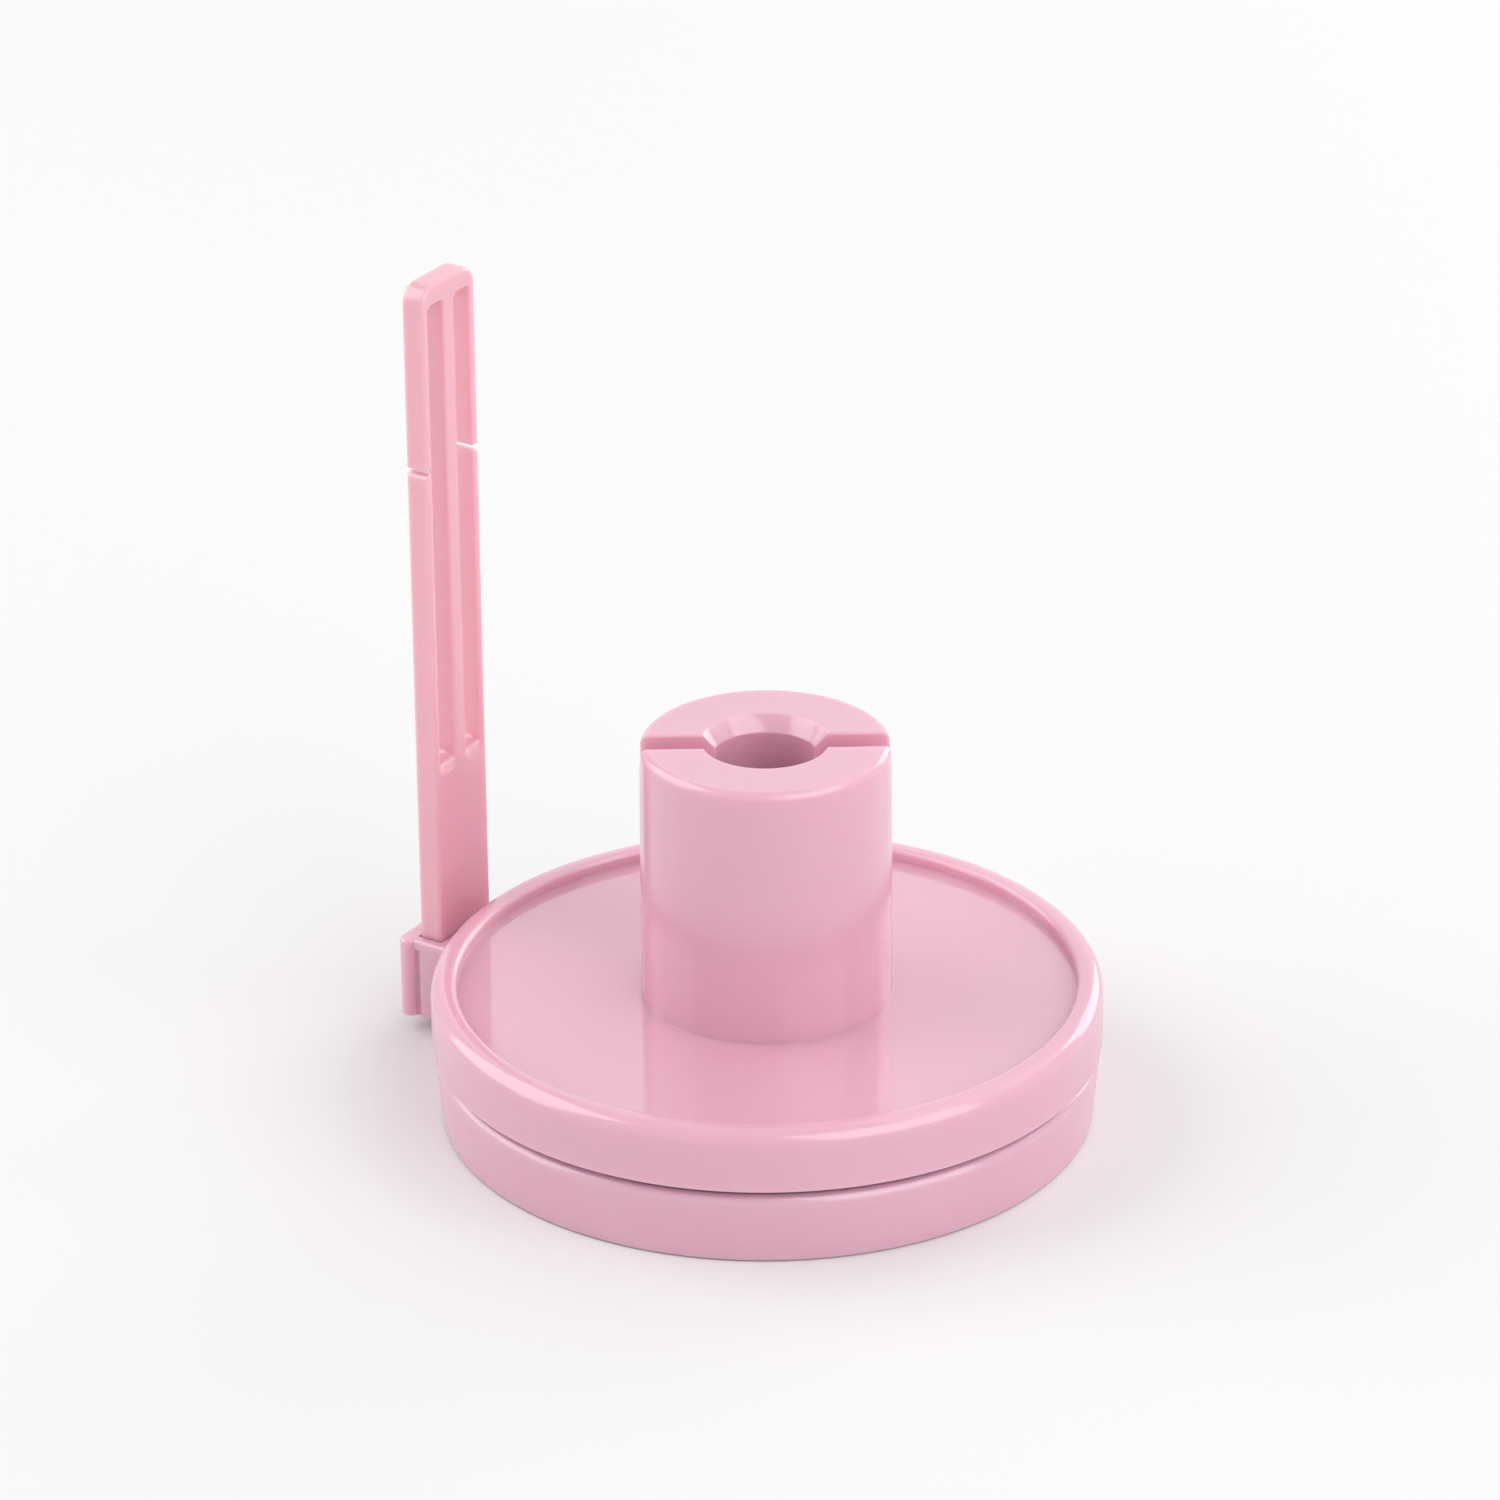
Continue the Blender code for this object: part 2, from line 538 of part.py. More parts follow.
def make_bearing_rings(parts, steel):
    edge = RING_EDGE
    step = SHIELD_THICKNESS + 2 * FIT_GAP
    seat = OUTER_LAND + FIT_GAP + SHIELD_THICKNESS
    low, high = BEARING_BOTTOM, BEARING_TOP
    profile = [(seat, high), (BEARING_RADIUS - edge, high), (BEARING_RADIUS, high - edge)]
    profile += [(BEARING_RADIUS, low + edge), (BEARING_RADIUS - edge, low), (seat, low)]
    profile += [(seat, low + step), (OUTER_LAND, low + step)]
    profile += ring_groove(1, 5)
    profile += [(OUTER_LAND, high - step), (seat, high - step)]
    outer = turned("bearing_outer_ring", profile, BEARING_STEPS, parts, steel)
    shade(outer)

    bore = BEARING_BORE_RADIUS
    profile = [(bore + edge, high), (INNER_LAND, high)]
    profile += ring_groove(-1, 5)
    profile += [(INNER_LAND, low), (bore + edge, low), (bore, low + edge), (bore, high - edge)]
    inner = turned("bearing_inner_ring", profile, BEARING_STEPS, parts, steel)
    shade(inner)

    shields = []
    for word, z in (("upper", high - step + FIT_GAP), ("lower", low + step - FIT_GAP - SHIELD_THICKNESS)):
        near, far = INNER_LAND + FIT_GAP, seat - FIT_GAP
        top = z + SHIELD_THICKNESS
        profile = [(near, top), (far, top), (far, z), (near, z)]
        shield = turned(f"bearing_shield_{word}", profile, BEARING_STEPS, parts, steel)
        shade(shield)
        shields.append(shield)
    return outer, inner, shields


def ball_place(index):
    angle = math.tau * index / BALLS
    return (PITCH_RADIUS * math.cos(angle), PITCH_RADIUS * math.sin(angle), BEARING_MIDDLE)


def make_balls(parts, steel):
    balls = []
    for i in range(BALLS):
        bm = bmesh.new()
        bmesh.ops.create_uvsphere(bm, u_segments=BALL_STEPS, v_segments=BALL_STEPS // 2, radius=BALL_RADIUS)
        mesh = bpy.data.meshes.new(f"bearing_ball_{i + 1}")
        bm.to_mesh(mesh)
        bm.free()
        mesh.shade_smooth()
        ball = add_object(f"bearing_ball_{i + 1}", mesh, parts, steel)
        ball.location = ball_place(i)
        balls.append(ball)
    return balls


def make_cage(parts, cutters, material):
    """A crown cage: a ring with a pocket for each ball, open at the top."""
    inner, outer = PITCH_RADIUS - CAGE_WALL / 2, PITCH_RADIUS + CAGE_WALL / 2
    step = SHIELD_THICKNESS + 2 * FIT_GAP
    low, high = BEARING_BOTTOM + step + BALL_PLAY / 2, BEARING_MIDDLE + CAGE_RISE
    profile = [(inner, high), (outer, high), (outer, low), (inner, low)]
    cage = turned("bearing_cage", profile, CAGE_STEPS_A_BALL * BALLS, parts, material)
    pocket = BALL_RADIUS + BALL_PLAY
    bm = bmesh.new()
    for i in range(BALLS):
        spot = Matrix.Translation(ball_place(i))
        bmesh.ops.create_uvsphere(
            bm, u_segments=BALL_STEPS, v_segments=BALL_STEPS // 2, radius=pocket, matrix=spot
        )
    mesh = bpy.data.meshes.new("ball_pockets")
    bm.to_mesh(mesh)
    bm.free()
    combine(cage, add_object("ball_pockets", mesh, cutters), "DIFFERENCE")
    shade(cage)
    return cage


def cross_drive(screw, reach, face, cutters):
    """Cuts a cross into the head of a screw whose head is at the bottom."""
    half = DRIVE_WIDTH / 2
    for i in range(2):
        mesh = bpy.data.meshes.new(f"{screw.name}_drive_{i + 1}")
        low, high = (-reach, -half, face - DRIVE_DEPTH), (reach, half, face + DRIVE_DEPTH)
        box_mesh(mesh, low, high, math.pi * i / 2)
        cut = add_object(f"{screw.name}_drive_{i + 1}", mesh, cutters)
        cut.location = screw.location
        combine(screw, cut, "DIFFERENCE")


def make_screw(parts, cutters, steel):
    """A low-headed screw that runs up into the turntable's axle, head down, with a cross drive."""
    edge = RING_EDGE
    tip = HEAD_TOP + SCREW_LENGTH
    profile = [(0.0, tip), (SCREW_RADIUS - edge, tip), (SCREW_RADIUS, tip - edge), (SCREW_RADIUS, HEAD_TOP)]
    head = SCREW_HEAD_RADIUS
    profile += [(head, HEAD_TOP), (head, HEAD_BOTTOM + edge), (head - edge, HEAD_BOTTOM), (0.0, HEAD_BOTTOM)]
    screw = turned("hub_screw", profile, SMALL_STEPS, parts, steel, closed=False)
    cross_drive(screw, head * DRIVE_SHARE, HEAD_BOTTOM, cutters)
    shade(screw)
    return screw


def make_washer(parts, steel):
    low, high = WASHER_BOTTOM, WASHER_TOP
    profile = [(PILOT_RADIUS, high), (WASHER_RADIUS, high), (WASHER_RADIUS, low), (PILOT_RADIUS, low)]
    washer = turned("hub_washer", profile, SMALL_STEPS, parts, steel)
    shade(washer)
    return washer


def make_cover(parts, cutters, material):
    """The disc that closes the base from below, with a hole under the hub screw and countersunk holes."""
    low, high = COVER_BOTTOM, COVER_TOP
    hole = COVER_HOLE_RADIUS
    profile = [(hole, high), (COVER_RADIUS, high), (COVER_RADIUS, low), (hole, low)]
    cover = turned("base_cover", profile, DISC_STEPS, parts, material)
    for i in range(COVER_SCREWS):
        shank = COVER_PILOT_RADIUS
        wide = COVER_SCREW_HEAD_RADIUS + FIT_GAP
        profile = [(0.0, high + BASE_WALL), (shank, high + BASE_WALL), (shank, low + wide - shank)]
        profile += [(wide, low), (wide, low - BASE_WALL), (0.0, low - BASE_WALL)]
        sink = turned(f"countersink_{i + 1}", profile, SMALL_STEPS, cutters, closed=False)
        sink.location = cover_screw_place(i)
        combine(cover, sink, "DIFFERENCE")
    shade(cover)
    return cover


def make_cover_screws(parts, cutters, steel):
    screws = []
    head = COVER_SCREW_HEAD_RADIUS
    low = COVER_BOTTOM
    shank = COVER_SCREW_RADIUS
    tip = low + COVER_SCREW_LENGTH
    for i in range(COVER_SCREWS):
        profile = [(0.0, tip), (shank / 2, tip), (shank, tip - shank / 2), (shank, low + head - shank)]
        profile += [(head, low), (0.0, low)]
        screw = turned(f"cover_screw_{i + 1}", profile, SMALL_STEPS, parts, steel, closed=False)
        screw.location = cover_screw_place(i)
        cross_drive(screw, head * DRIVE_SHARE, low, cutters)
        shade(screw)
        screws.append(screw)
    return screws


def make_pad(parts, rubber):
    edge = RING_EDGE
    profile = [(0.0, PAD_THICKNESS), (PAD_RADIUS, PAD_THICKNESS), (PAD_RADIUS, edge)]
    profile += [(PAD_RADIUS - edge, 0.0), (0.0, 0.0)]
    pad = turned("foot_pad", profile, DISC_STEPS, parts, rubber, closed=False)
    shade(pad)
    return pad


def joint_empty(name, location, collection):
    empty = bpy.data.objects.new(name, None)
    empty.location = location
    collection.objects.link(empty)
    return empty


for old in list(bpy.data.objects):
    bpy.data.objects.remove(old)

parts = new_collection("thread_dispenser")
cutters = new_collection("cutters")

pink = plastic("pink_plastic", (0.78, 0.42, 0.53), 0.28)
steel = plastic("bearing_steel", (0.62, 0.62, 0.64), 0.22, 1.0)
nylon = plastic("cage_nylon", (0.55, 0.50, 0.42), 0.5)
rubber = plastic("pad_rubber", (0.05, 0.05, 0.05), 0.8)

base = make_base(parts, cutters, pink)
cover = make_cover(parts, cutters, pink)
cover_screws = make_cover_screws(parts, cutters, steel)
pad = make_pad(parts, rubber)
turntable = make_turntable(parts, cutters, pink)
arm = make_arm(parts, cutters, pink)
outer_ring, inner_ring, shields = make_bearing_rings(parts, steel)
balls = make_balls(parts, steel)
cage = make_cage(parts, cutters, nylon)
screw = make_screw(parts, cutters, steel)
washer = make_washer(parts, steel)

turntable_axis = joint_empty("turntable_axis", (0.0, 0.0, BEARING_MIDDLE), parts)
cage_axis = joint_empty("cage_axis", (0.0, 0.0, BEARING_MIDDLE), parts)
arm_slide = joint_empty("arm_slide", (-(ARM_INNER + ARM_OUTER) / 2, 0.0, ARM_FOOT), parts)
bpy.context.view_layer.update()
for piece in (turntable, inner_ring, washer, screw):
    place(piece, turntable_axis)
for piece in (cage, *balls):
    place(piece, cage_axis)
place(arm, arm_slide)

for cutter in cutters.objects:
    cutter.hide_render = True
    cutter.display_type = "WIRE"
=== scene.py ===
import math

import bmesh
import bpy
from mathutils import Matrix, Vector


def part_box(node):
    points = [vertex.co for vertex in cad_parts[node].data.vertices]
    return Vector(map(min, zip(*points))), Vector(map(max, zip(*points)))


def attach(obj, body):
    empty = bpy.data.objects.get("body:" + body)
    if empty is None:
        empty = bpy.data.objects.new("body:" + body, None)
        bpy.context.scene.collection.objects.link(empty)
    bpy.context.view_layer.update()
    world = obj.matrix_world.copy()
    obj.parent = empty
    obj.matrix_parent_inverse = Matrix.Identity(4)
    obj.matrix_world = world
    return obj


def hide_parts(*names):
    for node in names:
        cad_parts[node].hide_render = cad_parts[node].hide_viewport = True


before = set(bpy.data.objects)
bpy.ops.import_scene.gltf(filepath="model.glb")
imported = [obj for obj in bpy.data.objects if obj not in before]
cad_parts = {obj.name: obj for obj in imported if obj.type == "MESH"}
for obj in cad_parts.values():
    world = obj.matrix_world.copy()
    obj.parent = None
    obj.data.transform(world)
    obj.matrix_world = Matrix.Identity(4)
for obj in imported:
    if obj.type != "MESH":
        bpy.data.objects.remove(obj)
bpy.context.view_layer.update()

# Base
# The lower disc is one thin-walled moulding of glossy pink ABS, open underneath, with a cup for the bearing.
# The block on its rim is the socket that the thread arm plugs into, moulded in one piece with it. A shallow
# groove runs round its top, under the turntable's rim.

MM = 0.001
TURNED_STEPS = 256
SHARP_ANGLE = math.radians(35.0)
WELD_DISTANCE = 1e-7

BASE_TOP = 7.75 * MM
BASE_LOW = 0.1 * MM
BASE_WALL = 2.0 * MM
BASE_DRAFT = 0.55 * MM  # its foot has a radius this much smaller than its top
BASE_TOP_ROUND = 1.1 * MM
BASE_FOOT_ROUND = 0.3 * MM
CUP_INNER = 11.2 * MM
CUP_OUTER = 13.2 * MM
CUP_TOP = 10.7 * MM
LEDGE_RADIUS = 9.2 * MM
LEDGE_LOW = 2.4 * MM
LEDGE_HIGH = 3.8 * MM
RUNNING_GROOVE_INNER = 32.9 * MM
RUNNING_GROOVE_OUTER = 33.85 * MM
RUNNING_GROOVE_DEPTH = 0.8 * MM

ARM_FIT = 0.15 * MM
SOCKET_WALL = 1.05 * MM
SOCKET_BACK = 1.8 * MM
SOCKET_FLOOR = 1.8 * MM
SOCKET_LOW = 1.6 * MM
SOCKET_EDGE_ROUND = 0.5 * MM
BEAD_RADIUS = 1.1 * MM
BEAD_INSET = 0.6 * MM  # from the socket's side to the bead's centre
BEAD_STEPS = 14
BEAD_GROOVE = 0.35 * MM  # radius of the groove beside each bead
BEAD_GROOVE_STEPS = 24
SWEEP_CLEARANCE = 0.6 * MM  # from the turntable's rim to the socket

PINK = (0.728, 0.397, 0.508)
FLOW_MARK_PALER = 0.03
WALL_ROUGHNESS = 0.15
TOP_POLISH = 0.12
RUBBING_ROUGHNESS = 0.08
PLASTIC_IOR = 1.58
PLASTIC_GLOSS = 0.95
GLOW_WEIGHT = 0.8
GLOW_RADIUS = (1.0, 0.7, 0.6)
GLOW_DEPTH = 2.4 * MM


class Wired:
    """A socket of a material. Arithmetic on it adds Math nodes, and add() puts in any other node."""

    def __init__(self, tree, socket=None):
        self.tree = tree
        self.socket = socket

    def add(self, kind, settings=None, inputs=None, output=0):
        node = self.tree.nodes.new("ShaderNode" + kind)
        for name, value in (settings or {}).items():
            setattr(node, name, value)
        for name, value in (inputs or {}).items():
            if isinstance(value, Wired):
                self.tree.links.new(value.socket, node.inputs[name])
            else:
                node.inputs[name].default_value = value
        return Wired(self.tree, node.outputs[output])

    def math(self, operation, first, second):
        return self.add("Math", {"operation": operation}, {0: first, 1: second})

    def __add__(self, other):
        return self.math("ADD", self, other)

    def __radd__(self, other):
        return self.math("ADD", other, self)

    def __sub__(self, other):
        return self.math("SUBTRACT", self, other)

    def __rsub__(self, other):
        return self.math("SUBTRACT", other, self)

    def __mul__(self, other):
        return self.math("MULTIPLY", self, other)

    def __rmul__(self, other):
        return self.math("MULTIPLY", other, self)


def new_material(name):
    """A material with an empty Principled shader: returns it, its tree and the shader."""
    material = bpy.data.materials.new(name)
    material.use_nodes = True
    return material, Wired(material.node_tree), material.node_tree.nodes["Principled BSDF"]


def noise(tree, scale, detail=2.0, stretch=(1.0, 1.0, 1.0)):
    """Noise of about 1/scale metres over the piece's own coordinates, from 0 to 1."""
    place = tree.add("TexCoord", output="Object")
    place = tree.add("Mapping", {}, {"Vector": place, "Scale": stretch})
    settings = {"noise_dimensions": "3D"}
    return tree.add("TexNoise", settings, {"Vector": place, "Scale": scale, "Detail": detail})


def blend(tree, factor, first, second):
    """A colour between two. The third of a Mix node's results is the colour."""
    inputs = {"Factor": factor, "A": (*first, 1.0), "B": (*second, 1.0)}
    return tree.add("Mix", {"data_type": "RGBA"}, inputs, output=2)


def grain_bump(tree, height, strength, distance):
    """A relief of the surface for the shader's Normal."""
    return tree.add("Bump", {}, {"Height": height, "Strength": strength, "Distance": distance})


def drive(shader, name, value):
    """Links a value that varies over the surface to a socket of the shader."""
    value.tree.links.new(value.socket, shader.inputs[name])


def pink_abs(name, colour):
    """Glossy moulded plastic: faint flow marks, a fine skin, and walls a little duller than the flat tops."""
    material, tree, shader = new_material(name)
    flow = noise(tree, scale=55.0, detail=3.0, stretch=(1.0, 1.0, 0.35))
    paler = [part + FLOW_MARK_PALER for part in colour]
    drive(shader, "Base Color", blend(tree, flow, colour, paler))
    rubbing = noise(tree, scale=420.0, detail=4.0, stretch=(1.0, 1.0, 4.0))
    facing = tree.add("TexCoord", output="Normal")
    upward = tree.add("SeparateXYZ", {}, {"Vector": facing}, output="Z")
    dullness = WALL_ROUGHNESS - TOP_POLISH * (upward * upward) + RUBBING_ROUGHNESS * rubbing
    drive(shader, "Roughness", dullness)
    skin = noise(tree, scale=1100.0, detail=1.0)
    drive(shader, "Normal", grain_bump(tree, skin, strength=0.12, distance=0.03 * MM))
    shader.inputs["IOR"].default_value = PLASTIC_IOR
    shader.inputs["Specular IOR Level"].default_value = PLASTIC_GLOSS
    shader.inputs["Subsurface Weight"].default_value = GLOW_WEIGHT
    shader.inputs["Subsurface Radius"].default_value = GLOW_RADIUS
    shader.inputs["Subsurface Scale"].default_value = GLOW_DEPTH
    return material


def arc(centre, radius, start, end, steps=8):
    """Points of an arc round a centre, from one angle to another in degrees."""
    angles = [math.radians(start + (end - start) * i / steps) for i in range(steps + 1)]
    return [(centre[0] + radius * math.cos(a), centre[1] + radius * math.sin(a)) for a in angles]


def new_object(name, bm):
    """Welds a mesh, turns its faces outwards and puts it in the scene."""
    bmesh.ops.remove_doubles(bm, verts=bm.verts, dist=WELD_DISTANCE)
    bmesh.ops.recalc_face_normals(bm, faces=bm.faces)
    mesh = bpy.data.meshes.new(name)
    bm.to_mesh(mesh)
    bm.free()
    obj = bpy.data.objects.new(name, mesh)
    bpy.context.scene.collection.objects.link(obj)
    return obj


def turned(name, profile):
    """A closed outline of (radius, height) points, spun round the turntable's axis."""
    bm = bmesh.new()
    points = [bm.verts.new((r, 0.0, z)) for r, z in profile]
    edges = [bm.edges.new(pair) for pair in zip(points, points[1:] + points[:1])]
    bmesh.ops.spin(
        bm, geom=points + edges, cent=(0, 0, 0), axis=(0, 0, 1), angle=math.tau, steps=TURNED_STEPS
    )
    return new_object(name, bm)


def ring_cutter(name, inner, outer, low, high):
    """A plain ring between two radii and two heights."""
    return turned(name, [(inner, low), (outer, low), (outer, high), (inner, high)])


def slab(name, outline, low, high, matrix=None):
    """A flat outline with a thickness from low to high, then placed by a matrix."""
    bm = bmesh.new()
    face = bm.faces.new([bm.verts.new((x, y, low)) for x, y in outline])
    made = bmesh.ops.extrude_face_region(bm, geom=[face])["geom"]
    lifted = [v for v in made if isinstance(v, bmesh.types.BMVert)]
    bmesh.ops.translate(bm, verts=lifted, vec=(0, 0, high - low))
    if matrix:
        bmesh.ops.transform(bm, matrix=matrix, verts=bm.verts)
    return new_object(name, bm)


def settle(obj):
    """Makes the object's modifiers part of its mesh."""
    bpy.context.view_layer.update()
    graph = bpy.context.evaluated_depsgraph_get()
    mesh = bpy.data.meshes.new_from_object(obj.evaluated_get(graph))
    obj.modifiers.clear()
    obj.data = mesh


def combine(obj, tool, operation):
    """Joins a shape to the object, or cuts it out, and uses the shape up."""
    boolean = obj.modifiers.new(tool.name, "BOOLEAN")
    boolean.operation = operation
    boolean.solver = "EXACT"
    boolean.object = tool
    settle(obj)
    bpy.data.objects.remove(tool)


def soften(obj, width, segments, angle):
    """Rounds the edges that stand out and are sharper than an angle in degrees. Inner corners stay crisp."""
    bm = bmesh.new()
    bm.from_mesh(obj.data)
    weights = bm.edges.layers.float.new("bevel_weight_edge")
    for edge in bm.edges:
        edge[weights] = float(edge.calc_face_angle_signed(0.0) > math.radians(angle))
    bm.to_mesh(obj.data)
    bm.free()
    bevel = obj.modifiers.new("Rounded edges", "BEVEL")
    bevel.width = width
    bevel.segments = segments
    bevel.limit_method = "WEIGHT"
    settle(obj)


def finish_piece(obj, material, body, slot, *nodes):
    """Smooth shading that keeps flat faces flat, material, and the CAD nodes that the piece stands for."""
    obj.data.shade_smooth()
    obj.data.set_sharp_from_angle(angle=SHARP_ANGLE)
    normals = obj.modifiers.new("Flat faces", "WEIGHTED_NORMAL")
    normals.keep_sharp = True
    settle(obj)
    obj.data.materials.clear()
    obj.data.materials.append(material)
    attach(obj, body)
    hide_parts(*nodes)


base_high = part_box("base_shell")[1]
disc_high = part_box("turntable")[1]
arm_low, arm_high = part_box("guide_arm")
base_radius = base_high.x
base_foot = base_radius - BASE_DRAFT
base_inner = base_foot - BASE_WALL
roof = BASE_TOP - BASE_WALL

top_edge = (base_radius - BASE_TOP_ROUND, BASE_TOP - BASE_TOP_ROUND)
foot_edge = (base_foot - BASE_FOOT_ROUND, BASE_LOW + BASE_FOOT_ROUND)
outline = [(CUP_INNER, CUP_TOP), (CUP_OUTER, CUP_TOP), (CUP_OUTER, BASE_TOP)]
outline += arc(top_edge, BASE_TOP_ROUND, 90, 0)
outline += arc(foot_edge, BASE_FOOT_ROUND, 0, -90)
outline += [(base_inner, BASE_LOW), (base_inner, roof), (CUP_OUTER, roof), (CUP_OUTER, LEDGE_LOW)]
outline += [(LEDGE_RADIUS, LEDGE_LOW), (LEDGE_RADIUS, LEDGE_HIGH), (CUP_INNER, LEDGE_HIGH)]
base = turned("base_moulding", outline)

socket_half = arm_high.y + ARM_FIT + SOCKET_WALL
socket_outer = arm_low.x - ARM_FIT - SOCKET_BACK
socket_inner = -base_inner - SOCKET_EDGE_ROUND
socket_top = base_high.z
bead_x = socket_outer + BEAD_RADIUS
bead_y = socket_half - BEAD_INSET
bead_start = math.degrees(math.asin(BEAD_INSET / BEAD_RADIUS))
outline = [(socket_inner, -socket_half), (socket_inner, socket_half)]
outline += arc((bead_x, bead_y), BEAD_RADIUS, bead_start, 180, steps=BEAD_STEPS)
outline += arc((bead_x, -bead_y), BEAD_RADIUS, 180, 360 - bead_start, steps=BEAD_STEPS)
socket = slab("socket", outline, SOCKET_LOW, socket_top)
soften(socket, SOCKET_EDGE_ROUND, segments=4, angle=60.0)
sweep = ring_cutter("sweep", 0, disc_high.x + SWEEP_CLEARANCE, BASE_TOP, BASE_TOP * 2)
combine(socket, sweep, "DIFFERENCE")

groove_x = bead_x + BEAD_RADIUS + BEAD_GROOVE / 2
groove_end = 360 - 360 / BEAD_GROOVE_STEPS
for side in (1, -1):
    outline = arc((groove_x, side * socket_half), BEAD_GROOVE, 0, groove_end, steps=BEAD_GROOVE_STEPS - 1)
    groove = slab("groove", outline, SOCKET_LOW + SOCKET_EDGE_ROUND / 2, socket_top - SOCKET_WALL)
    combine(socket, groove, "DIFFERENCE")
combine(base, socket, "UNION")

pocket_half = arm_high.y + ARM_FIT
pocket_outer = arm_low.x - ARM_FIT
pocket_inner = arm_high.x + ARM_FIT
outline = [(pocket_outer, -pocket_half), (pocket_inner, -pocket_half)]
outline += [(pocket_inner, pocket_half), (pocket_outer, pocket_half)]
pocket = slab("pocket", outline, SOCKET_LOW + SOCKET_FLOOR, socket_top + SOCKET_WALL)
combine(base, pocket, "DIFFERENCE")

groove_low = BASE_TOP - RUNNING_GROOVE_DEPTH
groove_high = BASE_TOP + RUNNING_GROOVE_DEPTH
groove = ring_cutter("running_groove", RUNNING_GROOVE_INNER, RUNNING_GROOVE_OUTER, groove_low, groove_high)
combine(base, groove, "DIFFERENCE")
pink = pink_abs("pink_abs", PINK)
finish_piece(base, pink, "base", "pink_plastic", "base_shell")

# Turntable
# The upper disc is another thin-walled moulding of the same plastic: a raised rim round a recessed face, and
# the hollow spool post, whose end is slotted right across. It turns on the axle moulded under its middle.

DISC_GAP = 0.65 * MM
RIM_WIDTH = 2.7 * MM
RIM_RISE = 1.4 * MM
RIM_OUTER_ROUND = 1.6 * MM
RIM_INNER_ROUND = 0.6 * MM
LOWER_EDGE_ROUND = 0.15 * MM
RECESS_HEIGHT = 13.7 * MM
FACE_CORNER_ROUND = 0.06 * MM
PLATE_UNDERSIDE = 11.6 * MM
POST_RADIUS = 12.95 * MM
POST_FOOT_RADIUS = 13.1 * MM
POST_EDGE_ROUND = 0.9 * MM
POST_FOOT_ROUND = 0.08 * MM
POST_WALL = 2.0 * MM
BORE_RADIUS = 5.35 * MM
BORE_FLOOR = 13.6 * MM
BORE_TUBE = 7.15 * MM  # outer radius of the tube round the bore
MOUTH_RADIUS = 6.5 * MM
MOUTH_DEPTH = 1.4 * MM
MOUTH_ROUND = 0.3 * MM
SLOT_WIDTH = 3.2 * MM
SLOT_DEPTH = 3.0 * MM
SLOT_LIP = 0.3 * MM
SLOT_CORNER = 0.35 * MM
SLOT_TURN = math.radians(33.5)
CAVITY_SLACK = 2.2 * MM  # from the slot's floor down to the hollow inside the post
HUB_RADIUS = 5.5 * MM
HUB_FACE = 11.2 * MM
AXLE_RADIUS = 3.8 * MM
AXLE_LOW = 4.2 * MM
PILOT_RADIUS = 1.7 * MM
PILOT_TOP = 10.0 * MM

disc_radius = disc_high.x
disc_bottom = BASE_TOP + DISC_GAP
recess_radius = disc_radius - RIM_WIDTH
rim_top = RECESS_HEIGHT + RIM_RISE
post_top = disc_high.z
cavity_top = post_top - SLOT_DEPTH - CAVITY_SLACK
mouth_slope = math.degrees(math.atan2(MOUTH_DEPTH, MOUTH_RADIUS - BORE_RADIUS))

mouth_inner = (BORE_RADIUS + MOUTH_ROUND, post_top - MOUTH_DEPTH - MOUTH_ROUND)
mouth_outer = (MOUTH_RADIUS + MOUTH_ROUND, post_top - MOUTH_ROUND)
post_edge = (POST_RADIUS - POST_EDGE_ROUND, post_top - POST_EDGE_ROUND)
post_foot = (POST_FOOT_RADIUS + POST_FOOT_ROUND, RECESS_HEIGHT + POST_FOOT_ROUND)
face_corner = (recess_radius - FACE_CORNER_ROUND, RECESS_HEIGHT + FACE_CORNER_ROUND)
rim_inner = (recess_radius + RIM_INNER_ROUND, rim_top - RIM_INNER_ROUND)
rim_outer = (disc_radius - RIM_OUTER_ROUND, rim_top - RIM_OUTER_ROUND)
lower_edge = (disc_radius - LOWER_EDGE_ROUND, disc_bottom + LOWER_EDGE_ROUND)
outline = [(0, BORE_FLOOR), (BORE_RADIUS, BORE_FLOOR)]
outline += arc(mouth_inner, MOUTH_ROUND, 180, 90 + mouth_slope, steps=4)
outline += arc(mouth_outer, MOUTH_ROUND, 90 + mouth_slope, 90, steps=4)
outline += arc(post_edge, POST_EDGE_ROUND, 90, 0)
outline += arc(post_foot, POST_FOOT_ROUND, 180, 270, steps=5)
outline += arc(face_corner, FACE_CORNER_ROUND, 270, 360, steps=4)
outline += arc(rim_inner, RIM_INNER_ROUND, 180, 90, steps=5)
outline += arc(rim_outer, RIM_OUTER_ROUND, 90, 0)
outline += arc(lower_edge, LOWER_EDGE_ROUND, 0, -90, steps=4)
outline += [(recess_radius, disc_bottom), (recess_radius, PLATE_UNDERSIDE)]
outline += [(POST_FOOT_RADIUS - POST_WALL, PLATE_UNDERSIDE), (POST_RADIUS - POST_WALL, cavity_top)]
outline += [(BORE_TUBE, cavity_top), (BORE_TUBE, PLATE_UNDERSIDE), (HUB_RADIUS, PLATE_UNDERSIDE)]
outline += [(HUB_RADIUS, HUB_FACE), (AXLE_RADIUS, HUB_FACE), (AXLE_RADIUS, AXLE_LOW)]
outline += [(PILOT_RADIUS, AXLE_LOW), (PILOT_RADIUS, PILOT_TOP), (0, PILOT_TOP)]
turntable = turned("turntable_moulding", outline)

